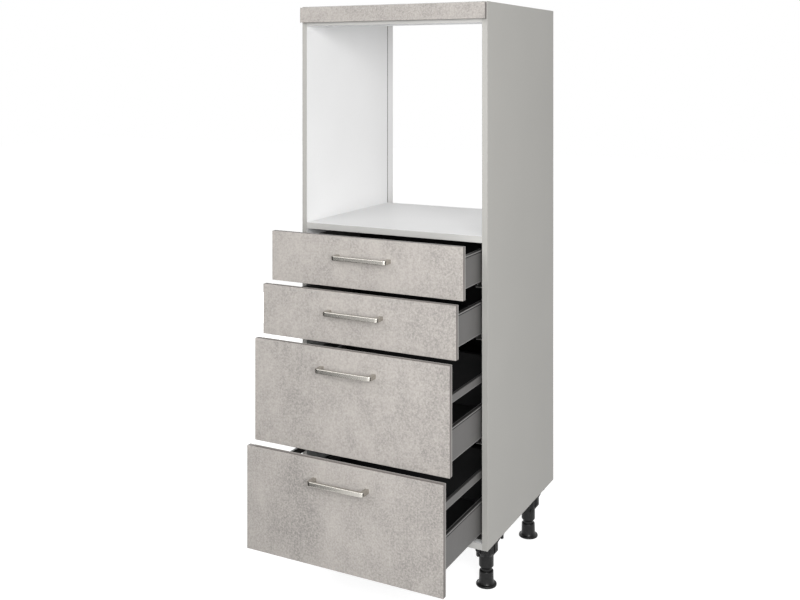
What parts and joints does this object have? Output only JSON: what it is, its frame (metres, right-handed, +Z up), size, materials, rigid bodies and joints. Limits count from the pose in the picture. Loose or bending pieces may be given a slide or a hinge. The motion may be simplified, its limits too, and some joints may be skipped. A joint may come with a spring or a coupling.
{
  "type": "tall oven housing unit",
  "caption": "Tall kitchen unit on adjustable legs, with an open niche for a built-in oven above metal-sided drawers with bow handles.",
  "frame": {"origin": "on the floor, midway between the sides, in the plane of the carcass's front edges", "axes": "+X to the right as seen from the front, +Y from the front edges to the wall, +Z up"},
  "size_m": [0.6, 0.878, 1.654],
  "materials": {
    "board_grey": "melamine-faced board, warm light grey, satin",
    "board_white": "melamine-faced board, white, satin",
    "back_board": "thin board with a dark foil, matt",
    "front_laminate": "laminated board with a light concrete look, matt",
    "cam_zinc": "cast zinc, dull",
    "dowel_beech": "fluted beech, bare",
    "leg_plastic": "black moulded plastic, satin",
    "screw_steel": "zinc plated",
    "runner_steel": "zinc plated sheet steel",
    "side_steel": "powder-coated sheet steel, grey, satin",
    "drawer_board": "melamine-faced board, dark grey, matt",
    "handle_nickel": "brushed, stainless look"
  },
  "bodies": {
    "carcass": {"side_panel_left": "board_grey", "side_panel_right": "board_grey", "bottom_panel": "board_grey", "oven_shelf": "board_white", "top_panel": "board_grey", "front_traverse": "board_grey", "back_panel": "back_board", "fascia_rail": "front_laminate", "panel_cams": "cam_zinc", "panel_dowels": "dowel_beech", "leg_sockets": "leg_plastic", "leg_tubes": "leg_plastic", "carcass_screws": "screw_steel", "wall_brackets": "runner_steel", "cabinet_rails": "runner_steel", "rail_screws": "screw_steel"},
    "foot_front_left": {"foot_front_left": "leg_plastic"},
    "foot_front_right": {"foot_front_right": "leg_plastic"},
    "foot_rear_left": {"foot_rear_left": "leg_plastic"},
    "foot_rear_right": {"foot_rear_right": "leg_plastic"},
    "drawer_1": {"drawer_front_1": "front_laminate", "handle_1": "handle_nickel", "handle_screws_1": "screw_steel", "drawer_side_left_1": "side_steel", "drawer_side_right_1": "side_steel", "drawer_bottom_1": "drawer_board", "drawer_back_1": "drawer_board", "drawer_brackets_1": "runner_steel"},
    "runner_1": {"runner_slides_1": "runner_steel"},
    "drawer_2": {"drawer_front_2": "front_laminate", "handle_2": "handle_nickel", "handle_screws_2": "screw_steel", "drawer_side_left_2": "side_steel", "drawer_side_right_2": "side_steel", "drawer_bottom_2": "drawer_board", "drawer_back_2": "drawer_board", "drawer_brackets_2": "runner_steel"},
    "runner_2": {"runner_slides_2": "runner_steel"},
    "drawer_3": {"drawer_front_3": "front_laminate", "handle_3": "handle_nickel", "handle_screws_3": "screw_steel", "drawer_side_left_3": "side_steel", "drawer_side_right_3": "side_steel", "drawer_bottom_3": "drawer_board", "drawer_back_3": "drawer_board", "drawer_brackets_3": "runner_steel", "gallery_rails_3": "side_steel"},
    "runner_3": {"runner_slides_3": "runner_steel"},
    "drawer_4": {"drawer_front_4": "front_laminate", "handle_4": "handle_nickel", "handle_screws_4": "screw_steel", "drawer_side_left_4": "side_steel", "drawer_side_right_4": "side_steel", "drawer_bottom_4": "drawer_board", "drawer_back_4": "drawer_board", "drawer_brackets_4": "runner_steel", "gallery_rails_4": "side_steel"},
    "runner_4": {"runner_slides_4": "runner_steel"}
  },
  "joints": [
    {"name": "drawer_1_slide", "type": "slide", "parent": "carcass", "child": "drawer_1", "axis": [0, -1, 0], "range_m": [-0.145, 0.285]},
    {"name": "runner_1_slide", "type": "slide", "parent": "carcass", "child": "runner_1", "axis": [0, -1, 0], "range_m": [-0.0725, 0.1425]},
    {"name": "drawer_2_slide", "type": "slide", "parent": "carcass", "child": "drawer_2", "axis": [0, -1, 0], "range_m": [-0.19, 0.24]},
    {"name": "runner_2_slide", "type": "slide", "parent": "carcass", "child": "runner_2", "axis": [0, -1, 0], "range_m": [-0.095, 0.12]},
    {"name": "drawer_3_slide", "type": "slide", "parent": "carcass", "child": "drawer_3", "axis": [0, -1, 0], "range_m": [-0.23, 0.2]},
    {"name": "runner_3_slide", "type": "slide", "parent": "carcass", "child": "runner_3", "axis": [0, -1, 0], "range_m": [-0.115, 0.1]},
    {"name": "drawer_4_slide", "type": "slide", "parent": "carcass", "child": "drawer_4", "axis": [0, -1, 0], "range_m": [-0.268, 0.162]},
    {"name": "runner_4_slide", "type": "slide", "parent": "carcass", "child": "runner_4", "axis": [0, -1, 0], "range_m": [-0.134, 0.081]},
    {"name": "foot_front_left_screw", "type": "slide", "parent": "carcass", "child": "foot_front_left", "axis": [0, 0, -1], "range_m": [-0.002, 0.02]},
    {"name": "foot_front_right_screw", "type": "slide", "parent": "carcass", "child": "foot_front_right", "axis": [0, 0, -1], "range_m": [-0.002, 0.02]},
    {"name": "foot_rear_left_screw", "type": "slide", "parent": "carcass", "child": "foot_rear_left", "axis": [0, 0, -1], "range_m": [-0.002, 0.02]},
    {"name": "foot_rear_right_screw", "type": "slide", "parent": "carcass", "child": "foot_rear_right", "axis": [0, 0, -1], "range_m": [-0.002, 0.02]}
  ],
  "couplings": [
    {"joint": "runner_1_slide", "follows": "drawer_1_slide", "ratio": 0.5},
    {"joint": "runner_2_slide", "follows": "drawer_2_slide", "ratio": 0.5},
    {"joint": "runner_3_slide", "follows": "drawer_3_slide", "ratio": 0.5},
    {"joint": "runner_4_slide", "follows": "drawer_4_slide", "ratio": 0.5}
  ]
}
